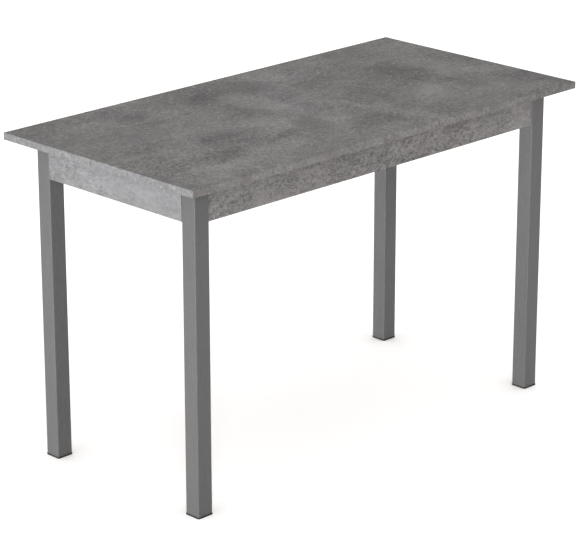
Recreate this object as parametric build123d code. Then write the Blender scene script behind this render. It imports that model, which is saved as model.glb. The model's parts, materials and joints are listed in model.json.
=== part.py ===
from build123d import *

import os

# Extendable dining table: 1200 x 600 x 750 mm closed, 1500 mm long open.
#
# A fixed frame of four square tube legs and four board aprons carries two top halves that meet in
# a seam across the middle. Each half slides outwards on two ball-bearing slides. A loose leaf lies
# on two bearers inside the frame, and drops into the gap between the open halves. Two lever locks
# under the top hold the halves together.
#
# Millimetres. The origin is on the floor under the middle of the table, +X runs along the length,
# +Y across the width and +Z up. Right is +X, left is -X, back is +Y and front is -Y. What repeats
# at four corners is modelled at the back right corner and mirrored.

# ---------------------------------------------------------------- driving dimensions

TABLE_LENGTH = 1200.0
TABLE_WIDTH = 600.0
TABLE_HEIGHT = 750.0
OVERHANG = 50.0          # edge of the top to the outer face of a leg
BOARD = 16.0             # laminated board, used for the top, aprons, rails and bearers
BAND = 1.0               # edge banding
BAND_ROUNDING = 0.6      # rounding of the banded edges, none along a joint
BOARD_ROUNDING = 0.5     # rounding of the long edges of aprons, rails and bearers
HALF_TRAVEL = 150.0      # outward travel of each half
SEAM_GAP = 0.1           # hairline between the closed halves
RUNNING_GAP = 1.0        # between a sliding half and the fixed frame under it

LEG = 40.0               # outside of the square tube
LEG_WALL = 1.5
LEG_CORNER = 2.5         # outside corner radius
CAP_FLANGE = 3.5         # thickness of the foot cap's flange and of the top plug's
CAP_PROUD = 1.0          # foot cap flange beyond the tube
CAP_CHAMFER = 0.5        # on the edge that meets the floor
CAP_INSERT = 18.0        # foot cap's length inside the tube
PLUG_INSERT = 12.0       # top plug's length inside the tube
INSERT_WALL = 2.0
INSERT_CORNER = 1.0
INSIDE_CORNER = 0.4      # inside corner radius of a tube or insert, as a share of the outside one
FIT_SLACK = 0.05         # radial slack of a glued, driven or screwed fit
PAST = 1.0               # how far a cut runs past the surface that it starts or ends at

APRON_HEIGHT = 80.0
LONG_APRON_RECESS = 3.0  # behind the outer faces of the legs

PLATE = 2.0              # sheet steel of the brackets
BRACKET_FLANGE = 53.0    # corner bracket's reach along an apron
BRACKET_Z = (660.0, 720.0)
X_BOLT_LEVELS = (668.0, 698.0)
Y_BOLT_LEVELS = (680.0, 710.0)
SCREW_LEVELS = (674.0, 706.0)
SCREWS_FROM_LEG = (22.0, 42.0)

SLIDE_LENGTH = 300.0
SLIDE_START = 30.0       # inner end of a slide, from the seam
SLIDE_LEVEL = 711.0      # mid height of a slide
SLIDE_DEPTH = 12.7
SLIDE_SHEET = 1.2
OUTER_HALF_HEIGHT = 17.5
OUTER_REACH = 10.5       # depth of the outer channel's flanges
OUTER_LIP = 2.0
INNER_HALF_HEIGHT = 11.5
INNER_START = 2.9        # depth where the inner member's flanges begin
BALL_RADIUS = 2.3
BALL_DEPTH = 6.0         # ball centre, from the apron
BALLS_IN_ROW = 7
BALL_PITCH = 20.0
CAGE_MIDDLE = 180.0      # middle of a cage from the seam, table closed
CAGE_LENGTH = 140.0
CAGE_SHEET = 0.8
CAGE_DEPTHS = (1.6, 8.8)
POCKET_HEIGHT = 2.0      # cut through the cage's sheet for each ball
SLIDE_SCREWS = (50.0, 180.0, 310.0)

RAIL_HEIGHT = 44.0
RAIL_X = (30.0, 350.0)
RAIL_SCREWS = (75.0, 205.0, 335.0)
COUNTERBORE_RADIUS = 5.0
COUNTERBORE_DEPTH = 20.0

LEAF_WIDTH = 300.0       # fills the gap of both half travels
LEAF_LEVEL = 687.5       # underside of the stored leaf
BEARER_X = 200.0         # middle of a bearer
BEARER_WIDTH = 60.0
PAD_RADIUS = 10.0
PAD_THICKNESS = 1.5
PAD_Y = 100.0
CLEAT_X = 180.0
CLEAT_SIZE = (16.0, 15.0, 10.0)
CLEAT_GAP = 1.0          # between a cleat and the leaf
ANGLE_WIDTH = 30.0       # bearer's angle bracket, along X
ANGLE_REACH = 30.0
ANGLE_DROP = 16.0
ANGLE_SCREW_SPREAD = 8.0     # each side of the bearer's middle
ANGLE_SCREW_DROP = 9.6       # apron screws, below the bearer
ANGLE_SCREW_REACH = 20.0     # bearer screws, from the apron

DOWEL_RADIUS = 4.0
DOWEL_BURIED = 25.0
DOWEL_PROUD = 22.0
DOWEL_TAPER = 3.0        # length of the tapered tip
DOWEL_TIP = 2.4          # radius at the end of the taper
DOWEL_HOLE_SPARE = 2.0   # depth of a dowel's hole beyond the dowel
DOWEL_SLIP = 0.3         # radial clearance where a dowel slides in
DOWEL_SPACING = 200.0

LOCK_Y = 180.0
LOCK_PIVOT_X = -22.0
LOCK_STUD_X = 18.0
LOCK_PLATE = 1.5
LOCK_PLATE_HALF_WIDTH = 11.0
LOCK_BASE_X = (-44.0, -1.0)
LOCK_BASE_SCREWS = (-38.0, -6.0)
LOCK_STUD_PLATE_X = (2.0, 34.0)
LOCK_STUD_SCREWS = (8.0, 28.0)
LEVER_Z = (723.0, 726.0)
LEVER_HALF_WIDTH = 9.0
LEVER_TIP = 50.0         # reach of the lever from its pivot
LEVER_TAB_BOTTOM = 718.0
LEVER_TAB = 2.0          # thickness of the finger tab
LEVER_TAB_HALF_WIDTH = 7.0
PIVOT_RADIUS = 3.0
PIVOT_SLACK = 0.05
PLAY = 0.3               # axial play of the lever
BOSS_RADIUS = 7.0
PIVOT_HEAD_RADIUS = 5.0
PIVOT_HEAD = 1.5
STUD_SLACK = 0.4

# ---------------------------------------------------------------- derived levels and faces

TOP_UNDERSIDE = TABLE_HEIGHT - BOARD
FRAME_TOP = TOP_UNDERSIDE - RUNNING_GAP
APRON_Z = (FRAME_TOP - APRON_HEIGHT, FRAME_TOP)
LEG_OUT_X = TABLE_LENGTH / 2 - OVERHANG
LEG_OUT_Y = TABLE_WIDTH / 2 - OVERHANG
LEG_IN_X = LEG_OUT_X - LEG
LEG_IN_Y = LEG_OUT_Y - LEG
LEG_CENTRE = (LEG_OUT_X - LEG / 2, LEG_OUT_Y - LEG / 2)
LEG_Z = (CAP_FLANGE, FRAME_TOP - CAP_FLANGE)
LONG_APRON_IN = LEG_OUT_Y - LONG_APRON_RECESS - BOARD
SHORT_APRON_IN = LEG_OUT_X - BOARD
RAIL_Y = (LONG_APRON_IN - SLIDE_DEPTH - BOARD, LONG_APRON_IN - SLIDE_DEPTH)
RAIL_Z = (TOP_UNDERSIDE - RAIL_HEIGHT, TOP_UNDERSIDE)
BEARER_TOP = LEAF_LEVEL - PAD_THICKNESS
BEARER_Z = (BEARER_TOP - BOARD, BEARER_TOP)
DOWEL_Y = (-DOWEL_SPACING, 0.0, DOWEL_SPACING)
TOP_DOWEL_LEVEL = TOP_UNDERSIDE + BOARD / 2
LEAF_DOWEL_LEVEL = LEAF_LEVEL + BOARD / 2
HALF_X = (SEAM_GAP / 2, TABLE_LENGTH / 2)
HALF_Y = (-TABLE_WIDTH / 2, TABLE_WIDTH / 2)
TOP_Z = (TOP_UNDERSIDE, TABLE_HEIGHT)

TOWARDS_LEFT = (-1, 0, 0)
TOWARDS_RIGHT = (1, 0, 0)
TOWARDS_FRONT = (0, -1, 0)
TOWARDS_BACK = (0, 1, 0)
DOWN = (0, 0, -1)
UP = (0, 0, 1)

CORNERS = {"front_left": (-1, -1), "front_right": (1, -1), "back_left": (-1, 1), "back_right": (1, 1)}
SIDES = {"left": -1, "right": 1}

# ---------------------------------------------------------------- helpers


def block(x, y, z):
    """A box between the low and high limits given for each axis."""
    limits = (x, y, z)
    middle = [(low + high) / 2 for low, high in limits]
    size = [high - low for low, high in limits]
    return Pos(*middle) * Box(*size)


def rounded_board(x, y, z, along):
    """A block with its long edges, which run along the given axis, slightly rounded."""
    board = block(x, y, z)
    return fillet(board.edges().filter_by(along), BOARD_ROUNDING)


def rod(point, direction, radius, length):
    """A round bar that starts at the point and runs along the direction."""
    bar = Cylinder(radius, length, align=(Align.CENTER, Align.CENTER, Align.MIN))
    return Plane(origin=point, z_dir=direction).location * bar


def turned(outline):
    """A solid turned about Z from an outline of (radius, height) points."""
    return revolve(make_face(Plane.XZ * Polyline(*outline, close=True)), Axis.Z)


def placed(shape, point, direction):
    """The shape moved to the point, with its own +Z along the direction."""
    return Plane(origin=point, z_dir=direction).location * shape


def at_corner(shape, side_x, side_y):
    """A back right shape carried to the corner on the given sides."""
    if side_x < 0:
        shape = mirror(shape, about=Plane.YZ)
    if side_y < 0:
        shape = mirror(shape, about=Plane.XZ)
    return shape


def at_all_corners(shapes):
    """Copies of the back right shapes at all four corners."""
    return [at_corner(shape, *sides) for sides in CORNERS.values() for shape in shapes]


def opposite(direction):
    return tuple(-part for part in direction)


def save(name, shapes):
    """Write one node, a single solid or a group of separate ones."""
    shape = Compound(children=shapes) if isinstance(shapes, list) else shapes
    export_step(shape, f"parts/{name}.step")


# ---------------------------------------------------------------- fasteners, seat at z = 0, head above

HEAD_CROWN = 0.6         # flat crown of a head, as a share of its radius
HEAD_SHOULDER = 0.4      # upright side of a head, as a share of its height
POINT = 0.3              # radius of a screw's point, as a share of its shank
CROSS_REACH = 0.55       # cross recess, as shares of the head's radius
CROSS_HALF_SLOT = 0.12
CROSS_DEPTH = 1.2
SOCKET_DEPTH = 0.6       # hexagon socket, as a share of the head's height


class Fastener:
    """Sizes of one kind of screw or bolt."""

    def __init__(self, shank, length, head, height, sunk=0.0, tip=3.0, socket=0.0):
        self.shank = shank
        self.length = length
        self.head = head
        self.height = height
        self.sunk = sunk
        self.tip = tip
        self.socket = socket

    def solid(self):
        """The whole screw, with a cross recess or a hexagon socket."""
        top = self.height
        outline = [(0, top), (self.head * HEAD_CROWN, top)]
        if self.sunk:
            outline = [(0, 0), (self.head, 0), (self.shank, -self.sunk)]
        else:
            outline += [(self.head, top * HEAD_SHOULDER), (self.head, 0), (self.shank, 0)]
        outline += [(self.shank, -self.length + self.tip), (self.shank * POINT, -self.length)]
        outline += [(0, -self.length)]
        return turned(outline) - self.recess()

    def recess(self):
        """The driver's hole in the head."""
        top = 0.0 if self.sunk else self.height
        if self.socket:
            hexagon = extrude(RegularPolygon(self.socket, 6), self.height)
            return Pos(0, 0, top - self.height * SOCKET_DEPTH) * hexagon
        arm = self.head * CROSS_REACH
        slot = self.head * CROSS_HALF_SLOT
        deep = (top - CROSS_DEPTH, top + PAST)
        return block((-arm, arm), (-slot, slot), deep) + block((-slot, slot), (-arm, arm), deep)

    def hole(self):
        """What a screw clears in the pieces it passes through."""
        radius = self.shank + FIT_SLACK
        end = -self.length - PAST
        if self.sunk:
            rim = self.head + FIT_SLACK
            return turned([(0, PAST), (rim, PAST), (rim, 0), (radius, -self.sunk), (radius, end), (0, end)])
        return turned([(0, PAST), (radius, PAST), (radius, end), (0, end)])

    def fill(self, sites):
        """One screw at every site."""
        return [placed(self.solid(), point, direction) for point, direction in sites]

    def holes(self, sites):
        """One hole at every site."""
        return [placed(self.hole(), point, direction) for point, direction in sites]


APRON_SCREW = Fastener(shank=1.75, length=14.0, head=3.5, height=2.2)
SLIDE_SCREW = Fastener(shank=1.75, length=13.0, head=3.4, height=0.0, sunk=1.65)
INNER_SCREW = Fastener(shank=1.75, length=13.0, head=3.4, height=2.0)
RAIL_SCREW = Fastener(shank=2.0, length=36.0, head=4.0, height=2.4)
SMALL_SCREW = Fastener(shank=1.5, length=11.0, head=2.8, height=1.8)
CLEAT_SCREW = Fastener(shank=1.5, length=22.0, head=2.8, height=0.0, sunk=1.3)
LEG_BOLT = Fastener(shank=3.0, length=16.0, head=5.25, height=3.3, tip=1.0, socket=2.3)

NUT_SLEEVE = 4.45
NUT_BULGE = 6.0
NUT_BULGE_LENGTH = 3.0
NUT_CONE = 1.0           # length of the slope behind the bulge
NUT_LENGTH = 15.0
NUT_HOLE = NUT_SLEEVE + FIT_SLACK

# ---------------------------------------------------------------- fastener places, back right corner

X_FACE_BOLT_Y = (LEG_IN_Y - PLATE + LONG_APRON_IN) / 2
Y_FACE_BOLT_X = (LEG_IN_X - PLATE + SHORT_APRON_IN) / 2


def leg_bolt_sites(seat):
    """Bolt places on the leg's two inner faces, the seat standing that far off the leg."""
    on_x_face = [((LEG_IN_X - seat, X_FACE_BOLT_Y, level), TOWARDS_LEFT) for level in X_BOLT_LEVELS]
    on_y_face = [((Y_FACE_BOLT_X, LEG_IN_Y - seat, level), TOWARDS_FRONT) for level in Y_BOLT_LEVELS]
    return on_x_face + on_y_face


def bracket_screw_sites():
    """Places of the screws from the corner bracket into both aprons."""
    sites = []
    for from_leg in SCREWS_FROM_LEG:
        for level in SCREW_LEVELS:
            sites.append(((LEG_IN_X - from_leg, LONG_APRON_IN - PLATE, level), TOWARDS_FRONT))
            sites.append(((SHORT_APRON_IN - PLATE, LEG_IN_Y - from_leg, level), TOWARDS_LEFT))
    return sites


def outer_slide_sites():
    """Screws through the outer channel's web into the long apron."""
    return [((x, LONG_APRON_IN - SLIDE_SHEET, SLIDE_LEVEL), TOWARDS_FRONT) for x in SLIDE_SCREWS]


def inner_slide_sites():
    """Screws through the inner member's web into the hanging rail."""
    return [((x, RAIL_Y[1] + SLIDE_SHEET, SLIDE_LEVEL), TOWARDS_BACK) for x in SLIDE_SCREWS]


def rail_sites():
    """Screws up through the hanging rail, seated in its counterbores."""
    middle = sum(RAIL_Y) / 2
    return [((x, middle, RAIL_Z[0] + COUNTERBORE_DEPTH), DOWN) for x in RAIL_SCREWS]


def angle_sites():
    """Screws from a bearer's angle bracket into the apron and the bearer."""
    across = (BEARER_X - ANGLE_SCREW_SPREAD, BEARER_X + ANGLE_SCREW_SPREAD)
    low = BEARER_Z[0] - ANGLE_SCREW_DROP
    middle = LONG_APRON_IN - ANGLE_SCREW_REACH
    into_apron = [((x, LONG_APRON_IN - PLATE, low), TOWARDS_FRONT) for x in across]
    into_bearer = [((x, middle, BEARER_Z[0] - PLATE), DOWN) for x in across]
    return into_apron + into_bearer


def cleat_site():
    """The countersunk screw down through a cleat into the bearer."""
    middle = LEAF_WIDTH / 2 + CLEAT_GAP + CLEAT_SIZE[1] / 2
    return [((CLEAT_X, middle, BEARER_TOP + CLEAT_SIZE[2]), UP)]


def lock_base_sites():
    """Screws of the lock's base plate into the left half, front and back."""
    level = TOP_UNDERSIDE - LOCK_PLATE
    return [((x, y, level), DOWN) for x in LOCK_BASE_SCREWS for y in (-LOCK_Y, LOCK_Y)]


def lock_stud_sites():
    """Screws of the stud plate into the right half, front and back."""
    level = TOP_UNDERSIDE - LOCK_PLATE
    return [((x, y, level), DOWN) for x in LOCK_STUD_SCREWS for y in (-LOCK_Y, LOCK_Y)]


# ---------------------------------------------------------------- legs


def tube_section(outside, radius, wall):
    """A square ring with rounded corners."""
    inside = outside - 2 * wall
    hollow = RectangleRounded(inside, inside, radius * INSIDE_CORNER)
    return RectangleRounded(outside, outside, radius) - hollow


def leg():
    """A square tube with the holes of its rivet nuts."""
    section = tube_section(LEG, LEG_CORNER, LEG_WALL)
    tube = Pos(*LEG_CENTRE, LEG_Z[0]) * extrude(section, LEG_Z[1] - LEG_Z[0])
    nut_holes = []
    for point, direction in leg_bolt_sites(PAST):
        nut_holes.append(rod(point, opposite(direction), NUT_HOLE, LEG_WALL + 2 * PAST))
    return tube - nut_holes


def tube_insert(depth):
    """The hollow ribbed part of a cap or plug that fits inside a tube, standing on z = 0."""
    outside = LEG - 2 * LEG_WALL - 2 * FIT_SLACK
    ring = extrude(tube_section(outside, INSERT_CORNER, INSERT_WALL), depth)
    span = outside / 2 - INSERT_WALL
    rib = INSERT_WALL / 2
    ring += block((-span, span), (-rib, rib), (0, depth))
    return ring + block((-rib, rib), (-span, span), (0, depth))


def foot_cap():
    """The cap under a leg: a flange slightly larger than the tube, and a ribbed insert."""
    width = LEG + 2 * CAP_PROUD
    flange = extrude(RectangleRounded(width, width, LEG_CORNER + CAP_PROUD), CAP_FLANGE)
    flange = chamfer(flange.edges().group_by(Axis.Z)[0], CAP_CHAMFER)
    return Pos(*LEG_CENTRE, 0) * (flange + Pos(0, 0, CAP_FLANGE) * tube_insert(CAP_INSERT))


def leg_top_plug():
    """The plug that closes the top end of a leg."""
    lid = Pos(0, 0, LEG_Z[1]) * extrude(RectangleRounded(LEG, LEG, LEG_CORNER), CAP_FLANGE)
    return Pos(*LEG_CENTRE, 0) * (lid + Pos(0, 0, LEG_Z[1] - PLUG_INSERT) * tube_insert(PLUG_INSERT))


def rivet_nut():
    """A threaded sleeve set in the leg's wall, the wall's outer face at z = 0."""
    behind = -LEG_WALL - FIT_SLACK
    bore = LEG_BOLT.shank + FIT_SLACK
    outline = [(bore, 0), (NUT_SLEEVE, 0), (NUT_SLEEVE, behind), (NUT_BULGE, behind)]
    bulge_end = behind - NUT_BULGE_LENGTH
    outline += [(NUT_BULGE, bulge_end), (NUT_SLEEVE, bulge_end - NUT_CONE)]
    outline += [(NUT_SLEEVE, -NUT_LENGTH), (bore, -NUT_LENGTH)]
    return turned(outline)


# ---------------------------------------------------------------- aprons and corner brackets


def corner_bracket():
    """Bent plate that runs from the long apron, round the leg's inner corner, to the short apron."""
    x_low = LEG_IN_X - PLATE
    y_low = LEG_IN_Y - PLATE
    plate = block((x_low - BRACKET_FLANGE, LEG_IN_X), (LONG_APRON_IN - PLATE, LONG_APRON_IN), BRACKET_Z)
    plate += block((x_low, LEG_IN_X), (y_low, LONG_APRON_IN), BRACKET_Z)
    plate += block((x_low, SHORT_APRON_IN), (y_low, LEG_IN_Y), BRACKET_Z)
    plate += block((SHORT_APRON_IN - PLATE, SHORT_APRON_IN), (y_low - BRACKET_FLANGE, LEG_IN_Y), BRACKET_Z)
    holes = APRON_SCREW.holes(bracket_screw_sites()) + LEG_BOLT.holes(leg_bolt_sites(PLATE))
    return plate - holes


def long_apron():
    """The back apron, with the holes of everything screwed to its inner face."""
    y = (LONG_APRON_IN, LONG_APRON_IN + BOARD)
    board = rounded_board((-LEG_IN_X, LEG_IN_X), y, APRON_Z, Axis.X)
    holes = APRON_SCREW.holes(bracket_screw_sites())
    holes += SLIDE_SCREW.holes(outer_slide_sites())
    holes += APRON_SCREW.holes(angle_sites()[:2])
    return board - holes - [mirror(hole, about=Plane.YZ) for hole in holes]


def short_apron():
    """The right apron, with the holes of its bracket screws."""
    x = (SHORT_APRON_IN, SHORT_APRON_IN + BOARD)
    board = rounded_board(x, (-LEG_IN_Y, LEG_IN_Y), APRON_Z, Axis.Y)
    holes = APRON_SCREW.holes(bracket_screw_sites())
    return board - holes - [mirror(hole, about=Plane.XZ) for hole in holes]


# ---------------------------------------------------------------- ball-bearing slides


def slide_bar(x, depth, height):
    """A straight bar of a slide: depth is measured from the apron, height from the slide's middle."""
    y = (LONG_APRON_IN - depth[1], LONG_APRON_IN - depth[0])
    return block(x, y, (SLIDE_LEVEL + height[0], SLIDE_LEVEL + height[1]))


def slide_pair(x, depth, height):
    """The same bar above and below the slide's middle."""
    return slide_bar(x, depth, height) + slide_bar(x, depth, (-height[1], -height[0]))


SLIDE_X = (SLIDE_START, SLIDE_START + SLIDE_LENGTH)


def slide_outer():
    """The channel that is screwed to the long apron, with lips that keep the balls in."""
    top = OUTER_HALF_HEIGHT
    channel = slide_bar(SLIDE_X, (0, SLIDE_SHEET), (-top, top))
    channel += slide_pair(SLIDE_X, (0, OUTER_REACH), (top - SLIDE_SHEET, top))
    channel += slide_pair(SLIDE_X, (OUTER_REACH - SLIDE_SHEET, OUTER_REACH), (top - OUTER_LIP, top))
    return channel - SLIDE_SCREW.holes(outer_slide_sites())


def slide_inner():
    """The member that is screwed to the hanging rail and runs between the balls."""
    top = INNER_HALF_HEIGHT
    member = slide_bar(SLIDE_X, (SLIDE_DEPTH - SLIDE_SHEET, SLIDE_DEPTH), (-top, top))
    member += slide_pair(SLIDE_X, (INNER_START, SLIDE_DEPTH), (top - SLIDE_SHEET, top))
    return member - INNER_SCREW.holes(inner_slide_sites())


def ball_places():
    """Centres of the balls, one row above the inner member and one below."""
    raceway = (OUTER_HALF_HEIGHT - SLIDE_SHEET + INNER_HALF_HEIGHT) / 2
    first = CAGE_MIDDLE - BALL_PITCH * (BALLS_IN_ROW - 1) / 2
    y = LONG_APRON_IN - BALL_DEPTH
    rows = (SLIDE_LEVEL - raceway, SLIDE_LEVEL + raceway)
    return [(first + BALL_PITCH * number, y, level) for level in rows for number in range(BALLS_IN_ROW)]


def ball_cage():
    """The bent strip that spaces the balls, and the balls in it."""
    x = (CAGE_MIDDLE - CAGE_LENGTH / 2, CAGE_MIDDLE + CAGE_LENGTH / 2)
    raceway = (OUTER_HALF_HEIGHT - SLIDE_SHEET + INNER_HALF_HEIGHT) / 2
    edge = raceway + CAGE_SHEET / 2
    strip = slide_bar(x, (CAGE_DEPTHS[0], CAGE_DEPTHS[0] + CAGE_SHEET), (-edge, edge))
    strip += slide_pair(x, CAGE_DEPTHS, (edge - CAGE_SHEET, edge))
    pockets = [Pos(*place) * Cylinder(BALL_RADIUS + FIT_SLACK, POCKET_HEIGHT) for place in ball_places()]
    balls = [Pos(*place) * Sphere(BALL_RADIUS) for place in ball_places()]
    return [strip - pockets] + balls


def hanging_rail():
    """The board on edge under a half that the inner member is screwed to."""
    board = rounded_board(RAIL_X, RAIL_Y, RAIL_Z, Axis.X)
    cuts = RAIL_SCREW.holes(rail_sites()) + INNER_SCREW.holes(inner_slide_sites())
    for (x, y, level), _ in rail_sites():
        cuts.append(rod((x, y, level), DOWN, COUNTERBORE_RADIUS, COUNTERBORE_DEPTH + PAST))
    return board - cuts


# ---------------------------------------------------------------- top halves and leaf


def banded_board(x, y, z, is_joint):
    """A board core and its four edge strips, the long strips along X over the ends of the short.

    is_joint tells whether an edge lies on a joint between boards, where it stays sharp.
    """
    whole = block(x, y, z)
    whole = fillet([edge for edge in whole.edges() if not is_joint(edge.center())], BAND_ROUNDING)
    core = block((x[0] + BAND, x[1] - BAND), (y[0] + BAND, y[1] - BAND), z)
    strips = [
        block((x[0], x[0] + BAND), (y[0] + BAND, y[1] - BAND), z),
        block((x[1] - BAND, x[1]), (y[0] + BAND, y[1] - BAND), z),
        block(x, (y[0], y[0] + BAND), z),
        block(x, (y[1] - BAND, y[1]), z),
    ]
    return core, [whole & strip for strip in strips]


def dowel():
    """A wooden dowel along +Z, its proud end tapered, the board's edge at z = 0."""
    outline = [(0, -DOWEL_BURIED), (DOWEL_RADIUS, -DOWEL_BURIED), (DOWEL_RADIUS, DOWEL_PROUD - DOWEL_TAPER)]
    outline += [(DOWEL_TIP, DOWEL_PROUD), (0, DOWEL_PROUD)]
    return turned(outline)


def half_dowel_holes(side):
    """Dowel holes in the seam edge: glued in the left half, sliding in the right."""
    slack = DOWEL_SLIP if side > 0 else FIT_SLACK
    depth = (DOWEL_PROUD if side > 0 else DOWEL_BURIED) + DOWEL_HOLE_SPARE
    direction = TOWARDS_RIGHT if side > 0 else TOWARDS_LEFT
    radius = DOWEL_RADIUS + slack
    return [rod((0, y, TOP_DOWEL_LEVEL), direction, radius, depth) for y in DOWEL_Y]


def top_half(side):
    """A half of the top as its core and edge strips, drilled for rails, lock and dowels."""
    x = HALF_X if side > 0 else (-HALF_X[1], -HALF_X[0])
    core, strips = banded_board(x, HALF_Y, TOP_Z, lambda middle: abs(middle.X) < BAND)
    rail_holes = RAIL_SCREW.holes(rail_sites())
    holes = [at_corner(hole, side, side_y) for hole in rail_holes for side_y in (-1, 1)]
    holes += SMALL_SCREW.holes(lock_stud_sites() if side > 0 else lock_base_sites())
    dowel_holes = half_dowel_holes(side)
    return core - holes - dowel_holes, [strip - dowel_holes for strip in strips]


def seam_dowels():
    """The dowels in the left half's seam edge."""
    edge = -SEAM_GAP / 2
    return [placed(dowel(), (edge, y, TOP_DOWEL_LEVEL), TOWARDS_RIGHT) for y in DOWEL_Y]


def leaf():
    """The stored leaf: core, strips and dowels, its joint edges along X."""
    x = (-TABLE_WIDTH / 2, TABLE_WIDTH / 2)
    y = (-LEAF_WIDTH / 2, LEAF_WIDTH / 2)
    z = (LEAF_LEVEL, LEAF_LEVEL + BOARD)
    core, strips = banded_board(x, y, z, lambda middle: abs(middle.Y) > LEAF_WIDTH / 2 - BAND)
    glued = [((place, y[0], LEAF_DOWEL_LEVEL), TOWARDS_FRONT) for place in DOWEL_Y]
    glued_depth = DOWEL_BURIED + DOWEL_HOLE_SPARE
    sliding_depth = DOWEL_PROUD + DOWEL_HOLE_SPARE
    holes = [rod(point, TOWARDS_BACK, DOWEL_RADIUS + FIT_SLACK, glued_depth) for point, _ in glued]
    far_edge = [(place, y[1], LEAF_DOWEL_LEVEL) for place in DOWEL_Y]
    holes += [rod(point, TOWARDS_FRONT, DOWEL_RADIUS + DOWEL_SLIP, sliding_depth) for point in far_edge]
    dowels = [placed(dowel(), point, direction) for point, direction in glued]
    return core - holes, [strip - holes for strip in strips], dowels


# ---------------------------------------------------------------- bearers of the stored leaf


def bearer():
    """The right cross board that the leaf lies on."""
    x = (BEARER_X - BEARER_WIDTH / 2, BEARER_X + BEARER_WIDTH / 2)
    board = rounded_board(x, (-LONG_APRON_IN, LONG_APRON_IN), BEARER_Z, Axis.Y)
    holes = APRON_SCREW.holes(angle_sites()[2:]) + CLEAT_SCREW.holes(cleat_site())
    return board - holes - [mirror(hole, about=Plane.XZ) for hole in holes]


def bearer_angle():
    """The angle bracket under the bearer's back end."""
    x = (BEARER_X - ANGLE_WIDTH / 2, BEARER_X + ANGLE_WIDTH / 2)
    low = BEARER_Z[0]
    angle = block(x, (LONG_APRON_IN - PLATE, LONG_APRON_IN), (low - ANGLE_DROP, low))
    angle += block(x, (LONG_APRON_IN - ANGLE_REACH, LONG_APRON_IN), (low - PLATE, low))
    return angle - APRON_SCREW.holes(angle_sites())


def cleat():
    """The block on a bearer that keeps the leaf from sliding sideways."""
    low = LEAF_WIDTH / 2 + CLEAT_GAP
    x = (CLEAT_X - CLEAT_SIZE[0] / 2, CLEAT_X + CLEAT_SIZE[0] / 2)
    body = block(x, (low, low + CLEAT_SIZE[1]), (BEARER_TOP, BEARER_TOP + CLEAT_SIZE[2]))
    return body - CLEAT_SCREW.holes(cleat_site())


def leaf_pad():
    """A round felt pad between a bearer and the leaf."""
    return rod((BEARER_X, PAD_Y, BEARER_TOP), UP, PAD_RADIUS, PAD_THICKNESS)


# ---------------------------------------------------------------- seam locks, drawn for the back lock


def lock_pin(x, shoulder):
    """A headed pin hanging from a lock plate, with a shoulder above the lever if one is given."""
    top = TOP_UNDERSIDE - LOCK_PLATE
    head_top = LEVER_Z[0] - PLAY
    pin = rod((x, LOCK_Y, top), DOWN, PIVOT_RADIUS, top - head_top + PIVOT_HEAD)
    pin += rod((x, LOCK_Y, head_top), DOWN, PIVOT_HEAD_RADIUS, PIVOT_HEAD)
    if shoulder:
        pin += rod((x, LOCK_Y, top), DOWN, BOSS_RADIUS, top - LEVER_Z[1] - PLAY)
    return pin


def lock_plate(x, sites):
    """A flat plate on the underside of a half, with its screw holes."""
    y = (LOCK_Y - LOCK_PLATE_HALF_WIDTH, LOCK_Y + LOCK_PLATE_HALF_WIDTH)
    plate = block(x, y, (TOP_UNDERSIDE - LOCK_PLATE, TOP_UNDERSIDE))
    return plate - SMALL_SCREW.holes(sites)


def lock_base():
    """The left half's plate with the lever's pivot."""
    return lock_plate(LOCK_BASE_X, lock_base_sites()) + lock_pin(LOCK_PIVOT_X, shoulder=True)


def lock_stud():
    """The right half's plate with the stud that the lever grips."""
    return lock_plate(LOCK_STUD_PLATE_X, lock_stud_sites()) + lock_pin(LOCK_STUD_X, shoulder=False)


def lock_lever():
    """The lever, unlocked: it points to the table's middle line, and turns to +X to lock."""
    reach = LOCK_STUD_X - LOCK_PIVOT_X
    slot = PIVOT_RADIUS + STUD_SLACK
    arm = Pos(LEVER_TIP / 2, 0) * Rectangle(LEVER_TIP, 2 * LEVER_HALF_WIDTH) + Circle(LEVER_HALF_WIDTH)
    swept_by_stud = Circle(reach + slot) - Circle(reach - slot)
    entry = Pos(reach, LEVER_HALF_WIDTH) * Rectangle(reach, 2 * LEVER_HALF_WIDTH)
    outline = arm - Circle(PIVOT_RADIUS + PIVOT_SLACK) - (swept_by_stud & entry)
    outline -= Pos(reach, 0) * Circle(slot)
    lever = Pos(0, 0, LEVER_Z[0]) * extrude(outline, LEVER_Z[1] - LEVER_Z[0])
    tab_y = (-LEVER_TAB_HALF_WIDTH, LEVER_TAB_HALF_WIDTH)
    lever += block((LEVER_TIP - LEVER_TAB, LEVER_TIP), tab_y, (LEVER_TAB_BOTTOM, LEVER_Z[1]))
    return Pos(LOCK_PIVOT_X, LOCK_Y, 0) * Rot(0, 0, -90) * lever


# ---------------------------------------------------------------- writing the nodes


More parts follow.
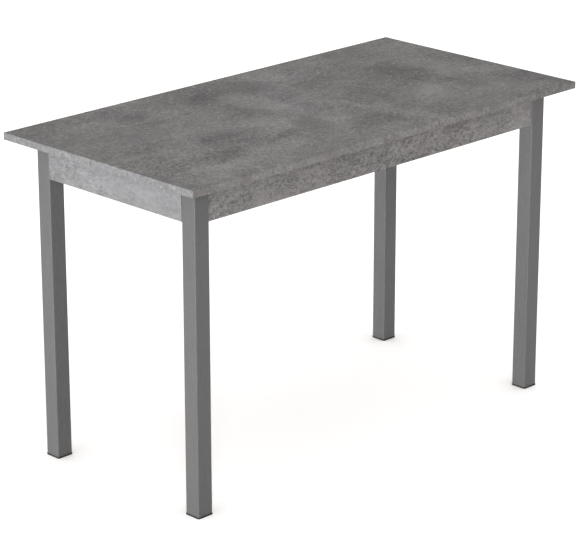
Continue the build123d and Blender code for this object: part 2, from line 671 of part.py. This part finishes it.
def save_frame():
    """The fixed frame: legs, caps, aprons, brackets, bearers and the outer channels."""
    for corner, sides in CORNERS.items():
        save(f"leg_{corner}", at_corner(leg(), *sides))
        save(f"foot_cap_{corner}", at_corner(foot_cap(), *sides))
        save(f"corner_bracket_{corner}", at_corner(corner_bracket(), *sides))
        save(f"slide_outer_{corner}", at_corner(slide_outer(), *sides))
    save("leg_top_plugs", at_all_corners([leg_top_plug()]))
    nuts = [placed(rivet_nut(), point, direction) for point, direction in leg_bolt_sites(0.0)]
    save("rivet_nuts", at_all_corners(nuts))
    save("leg_bolts", at_all_corners(LEG_BOLT.fill(leg_bolt_sites(PLATE))))
    save("bracket_screws", at_all_corners(APRON_SCREW.fill(bracket_screw_sites())))
    save("slide_outer_screws", at_all_corners(SLIDE_SCREW.fill(outer_slide_sites())))
    save("apron_long_back", long_apron())
    save("apron_long_front", mirror(long_apron(), about=Plane.XZ))
    save("apron_short_right", short_apron())
    save("apron_short_left", mirror(short_apron(), about=Plane.YZ))
    save("bearer_right", bearer())
    save("bearer_left", mirror(bearer(), about=Plane.YZ))
    save("bearer_angles", at_all_corners([bearer_angle()]))
    save("bearer_screws", at_all_corners(APRON_SCREW.fill(angle_sites())))
    save("leaf_cleats", at_all_corners([cleat()]))
    save("cleat_screws", at_all_corners(CLEAT_SCREW.fill(cleat_site())))
    save("leaf_pads", at_all_corners([leaf_pad()]))


def save_halves():
    """The two sliding halves with their rails, inner slide members and screws."""
    for name, side in SIDES.items():
        core, strips = top_half(side)
        save(f"top_half_{name}", core)
        save(f"edge_strips_{name}", strips)
        screws = RAIL_SCREW.fill(rail_sites()) + INNER_SCREW.fill(inner_slide_sites())
        fitted = [at_corner(screw, side, side_y) for screw in screws for side_y in (-1, 1)]
        fitted += SMALL_SCREW.fill(lock_stud_sites() if side > 0 else lock_base_sites())
        save(f"half_screws_{name}", fitted)
    for corner, sides in CORNERS.items():
        save(f"hanging_rail_{corner}", at_corner(hanging_rail(), *sides))
        save(f"slide_inner_{corner}", at_corner(slide_inner(), *sides))
        save(f"ball_cage_{corner}", [at_corner(piece, *sides) for piece in ball_cage()])
    save("seam_dowels", seam_dowels())


def save_locks():
    """Both seam locks, the front one mirrored from the back one."""
    for name, make in (("base", lock_base), ("stud", lock_stud), ("lever", lock_lever)):
        save(f"lock_{name}_back", make())
        save(f"lock_{name}_front", mirror(make(), about=Plane.XZ))


def save_leaf():
    """The stored leaf."""
    core, strips, dowels = leaf()
    save("leaf_board", core)
    save("leaf_edge_strips", strips)
    save("leaf_dowels", dowels)


os.makedirs("parts", exist_ok=True)
save_frame()
save_halves()
save_locks()
save_leaf()
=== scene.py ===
import json
import math

import bpy
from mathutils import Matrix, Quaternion, Vector

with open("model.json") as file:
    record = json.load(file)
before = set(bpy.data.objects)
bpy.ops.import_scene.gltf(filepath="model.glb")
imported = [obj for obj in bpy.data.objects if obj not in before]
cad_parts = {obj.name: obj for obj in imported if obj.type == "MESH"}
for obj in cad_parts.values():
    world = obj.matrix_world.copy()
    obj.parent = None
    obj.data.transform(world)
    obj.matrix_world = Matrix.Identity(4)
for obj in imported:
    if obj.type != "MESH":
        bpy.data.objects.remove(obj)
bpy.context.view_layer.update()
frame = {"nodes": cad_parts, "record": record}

# Looks of the extendable dining table. Metres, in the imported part's frame: +X along the table,
# +Y across it, +Z up, the floor at z = 0. Every board, tube and fitting is a CAD node with a
# procedural material, which a function below makes.

# ---------------------------------------------------------------- camera, light and floor

CAMERA_AZIMUTH = -44.76      # degrees, 0 looks along +Y
CAMERA_ELEVATION = 19.0
CAMERA_ROLL = -0.06
CAMERA_DISTANCE = 5.95
CAMERA_TARGET = Vector((-0.0163, 0.0134, 0.3693))
CAMERA_LENS = 162.4          # millimetres, as is the sensor
CAMERA_SENSOR = 36.0
CAMERA_SIGHT = 100.0         # how far the camera sees

SKY_COLOUR = (1.0, 0.981, 0.967, 1.0)
SKY_HORIZON = 0.64           # brightness of the studio at the horizon and overhead
SKY_ZENITH = 1.45

# A long light far to the left, too low to reach the top, and a small one in front for the shadow of the
# top's overhang.
SIDE_LIGHT = {
    "place": (-18.0, -1.0, 0.40),
    "size": (12.0, 0.6),
    "power": 4300.0,
    "colour": (0.960, 0.973, 1.0),
}
FRONT_LIGHT = {
    "place": (-5.1, -5.3, 3.9),
    "size": (1.5, 1.5),
    "power": 140.0,
    "colour": (1.0, 0.985, 0.97),
}

FLOOR_SIZE = 60.0
FLOOR_COLOUR = (0.985, 0.985, 0.985)
FLOOR_MOTTLE = 0.004
FLOOR_GLOW = 0.07            # the floor gives a little light itself, so that shadows on it stay pale
GLOW_COLOUR = (1.0, 1.0, 1.0, 1.0)


def direction_from(azimuth, elevation):
    """The unit vector from the object to a camera at that azimuth and elevation, in degrees."""
    turn = math.radians(azimuth)
    rise = math.radians(elevation)
    return Vector((math.sin(turn) * math.cos(rise), -math.cos(turn) * math.cos(rise), math.sin(rise)))


def make_camera():
    """The camera, aimed at the middle of the table from its left front side."""
    data = bpy.data.cameras.new("camera")
    data.lens = CAMERA_LENS
    data.sensor_width = CAMERA_SENSOR
    data.clip_end = CAMERA_SIGHT
    camera = bpy.data.objects.new("camera", data)
    bpy.context.scene.collection.objects.link(camera)
    back = direction_from(CAMERA_AZIMUTH, CAMERA_ELEVATION)
    camera.location = CAMERA_TARGET + back * CAMERA_DISTANCE
    camera.rotation_mode = "QUATERNION"
    roll = Quaternion((0, 0, 1), math.radians(CAMERA_ROLL))
    camera.rotation_quaternion = (-back).to_track_quat("-Z", "Y") @ roll
    bpy.context.scene.camera = camera


def make_light(name, place, size, power, colour):
    """A soft box aimed at the table."""
    data = bpy.data.lights.new(name, "AREA")
    data.shape = "RECTANGLE"
    data.size, data.size_y = size
    data.energy = power
    data.color = colour
    light = bpy.data.objects.new(name, data)
    bpy.context.scene.collection.objects.link(light)
    light.location = place
    light.rotation_mode = "QUATERNION"
    light.rotation_quaternion = (CAMERA_TARGET - light.location).to_track_quat("-Z", "Y")


def make_lights():
    """The side light and the front light."""
    make_light("side_light", **SIDE_LIGHT)
    make_light("front_light", **FRONT_LIGHT)


def make_sky():
    """A nearly white studio, brighter overhead than at the horizon."""
    world = bpy.data.worlds.new("studio")
    world.use_nodes = True
    tree = world.node_tree
    direction = tree.nodes.new("ShaderNodeTexCoord").outputs["Generated"]
    split = tree.nodes.new("ShaderNodeSeparateXYZ")
    strength = tree.nodes.new("ShaderNodeMapRange")
    strength.interpolation_type = "SMOOTHSTEP"
    strength.inputs["To Min"].default_value = SKY_HORIZON
    strength.inputs["To Max"].default_value = SKY_ZENITH
    background = tree.nodes["Background"]
    background.inputs["Color"].default_value = SKY_COLOUR
    tree.links.new(direction, split.inputs["Vector"])
    tree.links.new(split.outputs["Z"], strength.inputs["Value"])
    tree.links.new(strength.outputs["Result"], background.inputs["Strength"])
    bpy.context.scene.world = world


def make_floor():
    """A plain pale floor, larger than any view of it."""
    half = FLOOR_SIZE / 2
    mesh = bpy.data.meshes.new("floor")
    corners = [(-half, -half, 0), (half, -half, 0), (half, half, 0), (-half, half, 0)]
    mesh.from_pydata(corners, [], [(0, 1, 2, 3)])
    floor = bpy.data.objects.new("floor", mesh)
    bpy.context.scene.collection.objects.link(floor)
    surface = Surface("floor_finish", roughness=0.8, specular=0.2)
    mottle = surface.noise(surface.coordinates(), scale=3.0, detail=3.0)
    surface.colour(surface.noisy(FLOOR_COLOUR, [(mottle, FLOOR_MOTTLE)]))
    surface.shader.inputs["Emission Color"].default_value = GLOW_COLOUR
    surface.shader.inputs["Emission Strength"].default_value = FLOOR_GLOW
    mesh.materials.append(surface.material)


# ---------------------------------------------------------------- building a material

NOISE_SPREAD = 5.0           # noise that stays within 0.2 of its middle is spread to run from -1 to 1
NOISE_MIDDLE = 0.5
FACING_START = 0.55          # how much of a face's normal lies along an axis where it starts to look that
FACING_FULL = 0.85           # way, and where it does so in full


class Surface:
    """A procedural material under construction, in the piece's own coordinates, in metres."""

    def __init__(self, name, roughness, metallic=0.0, specular=0.5):
        self.material = bpy.data.materials.new(name)
        self.material.use_nodes = True
        self.tree = self.material.node_tree
        self.tree.nodes.clear()
        output = self.tree.nodes.new("ShaderNodeOutputMaterial")
        self.shader = self.tree.nodes.new("ShaderNodeBsdfPrincipled")
        self.tree.links.new(self.shader.outputs["BSDF"], output.inputs["Surface"])
        self.shader.inputs["Roughness"].default_value = roughness
        self.shader.inputs["Metallic"].default_value = metallic
        self.shader.inputs["Specular IOR Level"].default_value = specular
        self.object_space = self.tree.nodes.new("ShaderNodeTexCoord").outputs["Object"]

    def node(self, kind, inputs, **settings):
        """A new node with its settings, its inputs linked to sockets or set to values."""
        made = self.tree.nodes.new(kind)
        for name, value in settings.items():
            setattr(made, name, value)
        for name, value in inputs.items():
            if isinstance(value, bpy.types.NodeSocket):
                self.tree.links.new(value, made.inputs[name])
            else:
                made.inputs[name].default_value = value
        return made

    def coordinates(self, scale=(1.0, 1.0, 1.0), turn=(0.0, 0.0, 0.0), shift=(0.0, 0.0, 0.0)):
        """Object coordinates scaled, turned by degrees and shifted."""
        inputs = {"Vector": self.object_space, "Location": shift, "Scale": scale}
        inputs["Rotation"] = tuple(math.radians(angle) for angle in turn)
        return self.node("ShaderNodeMapping", inputs).outputs["Vector"]

    def noise(self, vector, scale, detail=4.0, roughness=0.55, distortion=0.0):
        """Cloudy noise about 0.5."""
        inputs = {"Vector": vector, "Scale": scale, "Detail": detail, "Roughness": roughness}
        inputs["Distortion"] = distortion
        return self.node("ShaderNodeTexNoise", inputs).outputs["Fac"]

    def cells(self, vector, scale):
        """Distance to the nearest of scattered points, in cell sizes."""
        inputs = {"Vector": vector, "Scale": scale}
        return self.node("ShaderNodeTexVoronoi", inputs, feature="F1").outputs["Distance"]

    def math(self, operation, *values):
        """A Math node of the given operation."""
        return self.node("ShaderNodeMath", dict(enumerate(values)), operation=operation).outputs["Value"]

    def centred(self, value):
        """Noise spread about 0, mostly from -1 to 1."""
        return self.math("MULTIPLY_ADD", value, NOISE_SPREAD, -NOISE_SPREAD * NOISE_MIDDLE)

    def darker(self, value):
        """A value from 0 to 1 that only darkens, where it is under 1."""
        return self.math("SUBTRACT", value, 1.0)

    def step(self, value, start, end, at_start=0.0, at_end=1.0):
        """A smooth step between the two results as the value goes from start to end."""
        inputs = {"Value": value, "From Min": start, "From Max": end, "To Min": at_start, "To Max": at_end}
        return self.node("ShaderNodeMapRange", inputs, interpolation_type="SMOOTHSTEP").outputs["Result"]

    def layered(self, layers, base=1.0):
        """The base plus every layer times its weight."""
        total = base
        for value, weight in layers:
            total = self.math("MULTIPLY_ADD", value, weight, total)
        return total

    def scaled(self, colour, factor):
        """The colour times a factor."""
        made = self.node("ShaderNodeVectorMath", {0: colour, "Scale": factor}, operation="SCALE")
        return made.outputs["Vector"]

    def product(self, first, second):
        """Two colours multiplied channel by channel."""
        made = self.node("ShaderNodeVectorMath", {0: first, 1: second}, operation="MULTIPLY")
        return made.outputs["Vector"]

    def shaded(self, colour, layers):
        """The colour made lighter and darker by the layers."""
        return self.scaled(colour, self.layered(layers))

    def noisy(self, colour, layers):
        """The colour made lighter and darker by plain noises, which are spread about 0 here."""
        return self.shaded(colour, [(self.centred(value), weight) for value, weight in layers])

    def between(self, factor, first, second):
        """A mix of two colours or sockets."""
        made = self.node("ShaderNodeMix", {}, data_type="RGBA")
        for name, value in (("Factor_Float", factor), ("A_Color", first), ("B_Color", second)):
            socket = next(s for s in made.inputs if s.identifier == name)
            if isinstance(value, bpy.types.NodeSocket):
                self.tree.links.new(value, socket)
            else:
                socket.default_value = (*value, 1.0) if isinstance(value, tuple) else value
        return next(s for s in made.outputs if s.identifier == "Result_Color")

    def facing(self, axis):
        """1 on faces that look along the axis, either way, and 0 on those that lie along it."""
        normal = self.node("ShaderNodeTexCoord", {}).outputs["Normal"]
        part = self.node("ShaderNodeSeparateXYZ", {"Vector": normal}).outputs[axis]
        return self.step(self.math("ABSOLUTE", part), FACING_START, FACING_FULL)

    def colour(self, socket):
        """The socket as the surface's colour."""
        self.tree.links.new(socket, self.shader.inputs["Base Color"])

    def roughness(self, value, low, high):
        """Roughness that runs from low to high as the value runs from 0 to 1."""
        inputs = {"Value": value, "To Min": low, "To Max": high}
        result = self.node("ShaderNodeMapRange", inputs).outputs["Result"]
        self.tree.links.new(result, self.shader.inputs["Roughness"])

    def bump(self, height, depth):
        """Surface relief: the height runs from 0 to 1 over the depth in metres."""
        made = self.node("ShaderNodeBump", {"Height": height, "Strength": 1.0, "Distance": depth})
        self.tree.links.new(made.outputs["Normal"], self.shader.inputs["Normal"])


# ---------------------------------------------------------------- concrete print

PRINT_FLAT_SHADED = (0.0955, 0.0955, 0.0925)    # painted shade: flat faces are made darker than upright ones, for light that falls less on the top than on the sides
PRINT_UPRIGHT_LIT = (0.147, 0.147, 0.149)
UPRIGHT_CONTRAST = 0.65                  # contrast of the upright faces, as a share of the flat ones'
WHITE = (1.0, 1.0, 1.0)
WARM_PRINT_AND_LIGHT = (1.05, 0.99, 0.965)          # on the faces that look along Y: partly the print's own warmth, partly painted warm light
LEAST_WARMTH = 0.6                       # warmth of their coolest places, as a share of the warmest ones'
VIOLET_TINT = (0.975, 0.935, 1.015)      # in patches of the flat faces
STAIN_VIOLET = 0.6                       # how violet the patches are that no mark places
FINE_SHARE = 0.7                         # weight of the finest grain, as a share of the grain's
PIT_WEIGHT = 0.25
PRINT_RELIEF = 0.00012                   # metres

MARK_EDGE = 1.35             # a mark fades in from its edge to its core, both in half sizes
MARK_CORE = 0.45
MARK_DEPTH = 50.0            # so deep that a mark runs right through the board
MARK_RAGGED = 0.13           # how far the noise pushes the edges of the marks about

# Marks of the top that are large enough to notice: middle x and y, half sizes, turn in degrees, how
# much lighter or darker, and how violet.
TOP_MARKS = [
    (-0.05, 0.07, 0.05, 0.13, 10, 0.32, 0.0),
    (-0.14, -0.05, 0.06, 0.06, -20, 0.30, 0.0),
    (0.00, -0.11, 0.05, 0.06, 0, 0.30, 0.0),
    (0.13, -0.18, 0.03, 0.15, 14, 0.36, 0.0),
    (0.13, 0.22, 0.05, 0.08, -10, 0.24, 0.0),
    (0.48, 0.03, 0.06, 0.15, 8, 0.26, 0.0),
    (-0.46, -0.23, 0.10, 0.045, 6, 0.36, 0.0),
    (-0.36, -0.24, 0.22, 0.08, 0, 0.17, 0.0),
    (0.30, -0.13, 0.08, 0.04, 20, 0.22, 0.0),
    (0.50, -0.26, 0.06, 0.03, 0, 0.28, 0.0),
    (-0.17, -0.14, 0.07, 0.013, 4, -0.27, 0.0),
    (-0.37, -0.165, 0.07, 0.04, -8, -0.20, 0.0),
    (-0.52, -0.12, 0.05, 0.05, 0, -0.20, 0.0),
    (0.03, -0.20, 0.07, 0.05, 0, -0.20, 0.0),
    (0.38, 0.02, 0.06, 0.15, 10, -0.24, 0.0),
    (0.20, 0.00, 0.09, 0.13, 0, -0.09, 0.0),
    (-0.33, 0.22, 0.06, 0.07, 10, -0.15, 1.0),
    (-0.10, 0.20, 0.06, 0.05, 0, -0.17, 0.9),
    (0.03, 0.12, 0.05, 0.12, -15, -0.09, 1.0),
    (0.01, 0.00, 0.04, 0.06, 0, 0.05, 1.0),
    (-0.31, -0.05, 0.07, 0.03, 5, -0.21, 1.0),
    (-0.27, -0.11, 0.04, 0.03, 0, -0.14, 0.7),
    (0.56, -0.18, 0.04, 0.06, 0, -0.22, 0.9),
]


def placed_marks(surface, marks, ragged):
    """A soft, ragged-edged layer for every mark, and how violet the marks are together."""
    layers = []
    violet = 0.0
    for x, y, half_x, half_y, turn, strength, violet_share in marks:
        inputs = {"Vector": ragged, "Location": (x, y, 0.0), "Scale": (half_x, half_y, MARK_DEPTH)}
        inputs["Rotation"] = (0.0, 0.0, math.radians(turn))
        local = surface.node("ShaderNodeMapping", inputs, vector_type="TEXTURE").outputs["Vector"]
        away = surface.node("ShaderNodeVectorMath", {0: local}, operation="LENGTH").outputs["Value"]
        inside = surface.step(away, MARK_EDGE, MARK_CORE)
        layers.append((inside, strength))
        violet = surface.math("MULTIPLY_ADD", inside, violet_share, violet)
    return layers, violet


def ragged_coordinates(surface, amount, scale):
    """Object coordinates pushed about by noise, so that what is drawn in them has ragged edges."""
    inputs = {"Vector": surface.object_space, "Scale": scale, "Detail": 5.0, "Roughness": 0.6}
    push = surface.node("ShaderNodeTexNoise", inputs).outputs["Color"]
    middle = (NOISE_MIDDLE, NOISE_MIDDLE, NOISE_MIDDLE)
    centred = surface.node("ShaderNodeVectorMath", {0: push, 1: middle}, operation="SUBTRACT")
    made = surface.node(
        "ShaderNodeVectorMath",
        {0: centred.outputs["Vector"], 1: (amount, amount, amount), 2: surface.object_space},
        operation="MULTIPLY_ADD",
    )
    return made.outputs["Vector"]


def crack_lines(surface, place, scale, width):
    """0 on thin wandering lines and 1 between them."""
    field = surface.noise(place, scale=scale, detail=5.0, roughness=0.65, distortion=1.8)
    away = surface.math("ABSOLUTE", surface.math("SUBTRACT", field, NOISE_MIDDLE))
    return surface.step(away, 0.0, width)


def cloud_layers(surface, place, shift, cloudy):
    """Large soft clouds, and wisps drawn out at a slant."""
    clouds = surface.noise(place, scale=2.6, detail=3.0, distortion=0.9)
    wisp_space = surface.coordinates(scale=(1.0, 3.2, 1.6), turn=(0, 0, 28), shift=shift)
    wisps = surface.noise(wisp_space, scale=3.4, detail=6.0, roughness=0.66, distortion=1.6)
    return [(surface.centred(clouds), cloudy), (surface.centred(wisps), cloudy)]


def grain_layers(surface, place, mottle, fine, mottled, grain):
    """Mottle, and two sizes of grain that is stronger in some places than in others."""
    strength = surface.noise(place, scale=4.0, detail=3.0)
    busy = surface.step(strength, start=0.38, end=0.62, at_start=0.45, at_end=1.35)
    speckle = surface.noise(place, scale=125.0, detail=4.0, roughness=0.75)
    return [
        (surface.centred(mottle), mottled),
        (surface.math("MULTIPLY", surface.centred(speckle), busy), grain),
        (surface.math("MULTIPLY", surface.centred(fine), busy), grain * FINE_SHARE),
    ]


def line_layers(surface, place, patches, veins, squiggles):
    """Thin dark lines where the patches are high, and thin pale ones where they are low."""
    dark_cracks = crack_lines(surface, place, scale=48.0, width=0.05)
    pale_cracks = crack_lines(surface, place, scale=36.0, width=0.04)
    dark_lines = surface.math("MAXIMUM", dark_cracks, surface.step(patches, start=0.52, end=0.42))
    pale_lines = surface.math("MAXIMUM", pale_cracks, surface.step(patches, start=0.46, end=0.58))
    return [(surface.darker(dark_lines), veins), (surface.darker(pale_lines), -squiggles)]


def spot_layers(surface, place, patches, specks):
    """Small dark pits all over, and pale specks where the patches are high."""
    pits = surface.step(surface.cells(place, scale=110.0), start=0.12, end=0.28)
    speck_space = surface.coordinates(shift=(3.1, 1.7, 0.4))
    pale_specks = surface.step(surface.cells(speck_space, scale=70.0), start=0.26, end=0.12)
    speckled = surface.step(patches, start=0.48, end=0.60)
    return [
        (surface.darker(pits), PIT_WEIGHT),
        (surface.math("MULTIPLY", pale_specks, speckled), specks),
    ]


def print_tint(surface, place, flat, placed_violet):
    """Violet patches on the flat faces, and a patchy warmth on the faces that look along Y, partly the
    print's own and partly painted warm light.
    """
    stain = surface.step(surface.noise(place, scale=9.0, detail=5.0, roughness=0.6), start=0.56, end=0.64)
    violet = surface.math("MAXIMUM", placed_violet, surface.math("MULTIPLY", stain, STAIN_VIOLET))
    patchy = surface.noise(place, scale=6.0, detail=4.0, distortion=0.6)
    warmth = surface.step(patchy, start=0.35, end=0.65, at_start=LEAST_WARMTH)
    # Painted warm light, together with the print's own warmth: the faces that look along Y are made warmer.
    warmed = surface.between(surface.math("MULTIPLY", surface.facing("Y"), warmth), WHITE, WARM_PRINT_AND_LIGHT)
    return surface.between(surface.math("MULTIPLY", flat, violet), warmed, VIOLET_TINT)


def concrete_print(name, shift, marks=(), upright=1.0, cloudy=0.12, mottled=0.16, grain=0.4,
                   veins=0.3, squiggles=0.3, specks=0.3, stretch=1.0):
    """Laminate printed as trowelled concrete: clouds, wisps, mottle, grain, fine lines, specks and pits.

    Each weight says how much its layer lightens or darkens. A larger upright makes the upright faces
    lighter, and a larger stretch draws the print out along and across the table.
    """
    surface = Surface(name, roughness=0.5, specular=0.2)
    place = surface.coordinates(scale=(1.0 / stretch, 1.0 / stretch, 1.0), shift=shift)
    mottle = surface.noise(place, scale=20.0, detail=6.0, roughness=0.75, distortion=0.6)
    fine = surface.noise(place, scale=380.0, detail=3.0, roughness=0.7)
    patches = surface.noise(place, scale=7.0, detail=4.0, roughness=0.6)
    layers = cloud_layers(surface, place, shift, cloudy)
    layers += grain_layers(surface, place, mottle, fine, mottled, grain)
    layers += line_layers(surface, place, patches, veins, squiggles)
    layers += spot_layers(surface, place, patches, specks)
    ragged = ragged_coordinates(surface, amount=MARK_RAGGED, scale=20.0)
    mark_layers, placed_violet = placed_marks(surface, marks, ragged)
    flat = surface.facing("Z")
    # Painted light and shade: upright faces get a lighter ground than flat ones of the same print.
    ground = surface.between(flat, tuple(part * upright for part in PRINT_UPRIGHT_LIT), PRINT_FLAT_SHADED)
    tinted = surface.product(ground, print_tint(surface, place, flat, placed_violet))
    contrast = surface.step(flat, start=0.0, end=1.0, at_start=UPRIGHT_CONTRAST)
    change = surface.layered(layers + mark_layers, base=0.0)
    surface.colour(surface.scaled(tinted, surface.math("MULTIPLY_ADD", change, contrast, 1.0)))
    surface.roughness(mottle, low=0.44, high=0.60)
    surface.bump(fine, depth=PRINT_RELIEF)
    return surface.material


# ---------------------------------------------------------------- other finishes

LEG_GREY = (0.0622, 0.0612, 0.0624)
PLASTIC_BLACK = (0.013, 0.013, 0.014)
ZINC_GREY = (0.56, 0.58, 0.60)
BEARING_GREY = (0.66, 0.67, 0.68)
LACQUER_BLACK = (0.020, 0.020, 0.022)
MELAMINE_GREY = (0.44, 0.435, 0.42)
CHIPBOARD_BROWN = (0.40, 0.28, 0.17)
BEECH_BROWN = (0.50, 0.33, 0.19)
FELT_GREY = (0.030, 0.030, 0.033)
FELT_SHEEN = 0.4


def leg_paint():
    """Satin grey paint over drawn tube, with a faint grain along the tube."""
    surface = Surface("leg_paint", roughness=0.42, specular=0.5)
    drawn = surface.noise(surface.coordinates(scale=(1.0, 1.0, 0.05)), scale=320.0, detail=3.0, roughness=0.6)
    grain = surface.noise(surface.coordinates(scale=(1.0, 1.0, 0.4)), scale=260.0, detail=4.0, roughness=0.7)
    cloudy = surface.noise(surface.coordinates(scale=(1.0, 1.0, 0.3)), scale=30.0, detail=4.0)
    peel = surface.noise(surface.coordinates(), scale=1400.0, detail=2.0)
    layers = [(drawn, 0.09), (grain, 0.16), (cloudy, 0.03), (peel, 0.02)]
    surface.colour(surface.noisy(LEG_GREY, layers))
    surface.roughness(cloudy, low=0.36, high=0.48)
    surface.bump(peel, depth=0.00004)
    return surface.material


def dark_plastic():
    """Moulded black-grey plastic with a fine spark-eroded grain."""
    surface = Surface("dark_plastic", roughness=0.6, specular=0.25)
    grain = surface.noise(surface.coordinates(), scale=1800.0, detail=3.0)
    scuffs = surface.noise(surface.coordinates(), scale=90.0, detail=5.0, roughness=0.7)
    surface.colour(surface.noisy(PLASTIC_BLACK, [(grain, 0.08), (scuffs, 0.2)]))
    surface.roughness(scuffs, low=0.52, high=0.70)
    surface.bump(grain, depth=0.00006)
    return surface.material


def zinc_steel():
    """Zinc-plated sheet steel: fine rolling lines and a faint mottle of the plating."""
    surface = Surface("zinc_steel", roughness=0.34, metallic=1.0)
    rolled = surface.noise(surface.coordinates(scale=(0.03, 1.0, 1.0)), scale=1600.0, detail=2.0)
    plating = surface.noise(surface.coordinates(), scale=120.0, detail=4.0, distortion=1.0)
    surface.colour(surface.noisy(ZINC_GREY, [(rolled, 0.04), (plating, 0.05)]))
    surface.roughness(plating, low=0.26, high=0.44)
    surface.bump(rolled, depth=0.00003)
    return surface.material


def bright_steel():
    """Polished bearing steel with a film of grease."""
    surface = Surface("bright_steel", roughness=0.15, metallic=1.0)
    film = surface.noise(surface.coordinates(), scale=260.0, detail=3.0)
    surface.colour(surface.noisy(BEARING_GREY, [(film, 0.03)]))
    surface.roughness(film, low=0.10, high=0.26)
    return surface.material


def lever_lacquer():
    """Black lacquered steel, worn a little."""
    surface = Surface("lever_lacquer", roughness=0.4)
    wear = surface.noise(surface.coordinates(), scale=300.0, detail=5.0, roughness=0.7)
    surface.colour(surface.noisy(LACQUER_BLACK, [(wear, 0.15)]))
    surface.roughness(wear, low=0.32, high=0.52)
    surface.bump(wear, depth=0.00003)
    return surface.material


def support_melamine():
    """Light grey melamine with a pearl texture, and bare chipboard on the sawn faces that look along X."""
    surface = Surface("support_melamine", roughness=0.5, specular=0.4)
    pearl = surface.noise(surface.coordinates(), scale=700.0, detail=2.0)
    cloudy = surface.noise(surface.coordinates(), scale=12.0, detail=4.0)
    chips = surface.cells(surface.coordinates(scale=(1.0, 1.0, 1.8)), scale=330.0)
    dust = surface.noise(surface.coordinates(), scale=520.0, detail=4.0, roughness=0.7)
    plain = surface.noisy(MELAMINE_GREY, [(pearl, 0.025), (cloudy, 0.02)])
    sawn = surface.noisy(CHIPBOARD_BROWN, [(chips, 0.10), (dust, 0.22)])
    surface.colour(surface.between(surface.facing("X"), plain, sawn))
    surface.roughness(cloudy, low=0.44, high=0.58)
    surface.bump(pearl, depth=0.00008)
    return surface.material


def beech():
    """Turned beech with short dark flecks along the grain."""
    surface = Surface("beech", roughness=0.6, specular=0.3)
    along = surface.coordinates(scale=(0.12, 0.12, 1.0))
    rings = surface.noise(along, scale=700.0, detail=4.0, distortion=0.5)
    flecks = surface.step(surface.noise(along, scale=2400.0, detail=2.0), start=0.60, end=0.66)
    surface.colour(surface.shaded(BEECH_BROWN, [(surface.centred(rings), 0.12), (flecks, -0.25)]))
    surface.bump(rings, depth=0.0001)
    return surface.material


def felt():
    """Pressed dark felt."""
    surface = Surface("felt", roughness=0.95, specular=0.1)
    fibres = surface.noise(surface.coordinates(), scale=2200.0, detail=5.0, roughness=0.8, distortion=2.0)
    surface.colour(surface.noisy(FELT_GREY, [(fibres, 0.3)]))
    surface.shader.inputs["Sheen Weight"].default_value = FELT_SHEEN
    surface.bump(fibres, depth=0.0004)
    return surface.material


# ---------------------------------------------------------------- giving the nodes their finishes

TOP_UPRIGHT = 0.85           # how light the edges of the top and of the leaf are
TOP_GRAIN = 0.42
TOP_SQUIGGLES = 0.8
APRON_STRETCH = 1.7


def board_finishes():
    """The printed boards by node name. Each kind of board has its own place in the endless print."""
    top = concrete_print("print_top", (0.0, 0.0, 0.0), TOP_MARKS, upright=TOP_UPRIGHT, grain=TOP_GRAIN,
                         squiggles=TOP_SQUIGGLES, specks=1.0)
    spare = concrete_print("print_leaf", (9.7, 3.9, 1.1), upright=TOP_UPRIGHT, grain=TOP_GRAIN,
                           squiggles=TOP_SQUIGGLES)
    long_side = concrete_print("print_long_aprons", (7.9, 3.7, 2.1), upright=1.15, cloudy=0.2, grain=0.35,
                               veins=0.75, stretch=APRON_STRETCH)
    short_side = concrete_print("print_short_aprons", (2.2, 6.6, 3.3), mottled=0.14, specks=0.0,
                                stretch=APRON_STRETCH)
    return {
        "top_half_left": top,
        "edge_strips_left": top,
        "top_half_right": top,
        "edge_strips_right": top,
        "leaf_board": spare,
        "leaf_edge_strips": spare,
        "apron_long_front": long_side,
        "apron_long_back": long_side,
        "apron_short_left": short_side,
        "apron_short_right": short_side,
    }


def slot_finishes():
    """The finishes of everything else, by the record's material slot."""
    return {
        "grey_leg_paint": leg_paint(),
        "dark_plastic": dark_plastic(),
        "zinc_steel": zinc_steel(),
        "bright_steel": bright_steel(),
        "lever_steel": lever_lacquer(),
        "support_board": support_melamine(),
        "beech_dowel": beech(),
        "felt": felt(),
    }


def finish_nodes():
    """A material for every CAD node: a board's own, or else its slot's."""
    boards = board_finishes()
    finishes = slot_finishes()
    for part in frame["record"]["subparts"]:
        name = part["node"]
        node = frame["nodes"][name]
        material = boards.get(name) or finishes[part["material_slot"]]
        node.data.materials.clear()
        node.data.materials.append(material)


bpy.context.scene.view_settings.view_transform = "Standard"
make_camera()
make_sky()
make_lights()
make_floor()
finish_nodes()
